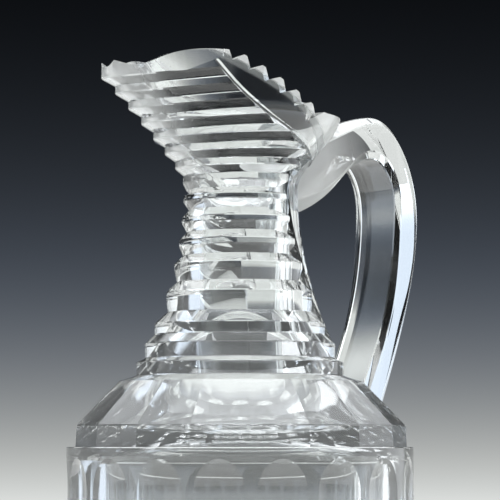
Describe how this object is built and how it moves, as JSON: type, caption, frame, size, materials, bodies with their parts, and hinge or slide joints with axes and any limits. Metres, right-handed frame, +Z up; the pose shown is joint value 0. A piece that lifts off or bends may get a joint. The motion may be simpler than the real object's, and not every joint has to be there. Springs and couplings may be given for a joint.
{
  "type": "claret jug",
  "caption": "Cut-glass claret jug: fluted cylinder, panelled shoulder, prism-cut neck, step-cut pouring lip with toothed rim, strap handle.",
  "frame": {"origin": "centre of the flat underside, on the axis of the fluted cylinder", "axes": "+Z up along the jug's axis, +X towards the handle, the lip points to -X, the jug is the same on both sides of y = 0"},
  "size_m": [0.1219, 0.114, 0.2393],
  "materials": {
    "jug_glass": "polished cut lead glass, clear with a faint grey-green tone in the thick parts",
    "handle_glass": "fire-polished lead glass strap with cut bevels, clear"
  },
  "bodies": {
    "root": {"jug_body": "jug_glass", "strap_handle": "handle_glass"}
  },
  "joints": []
}
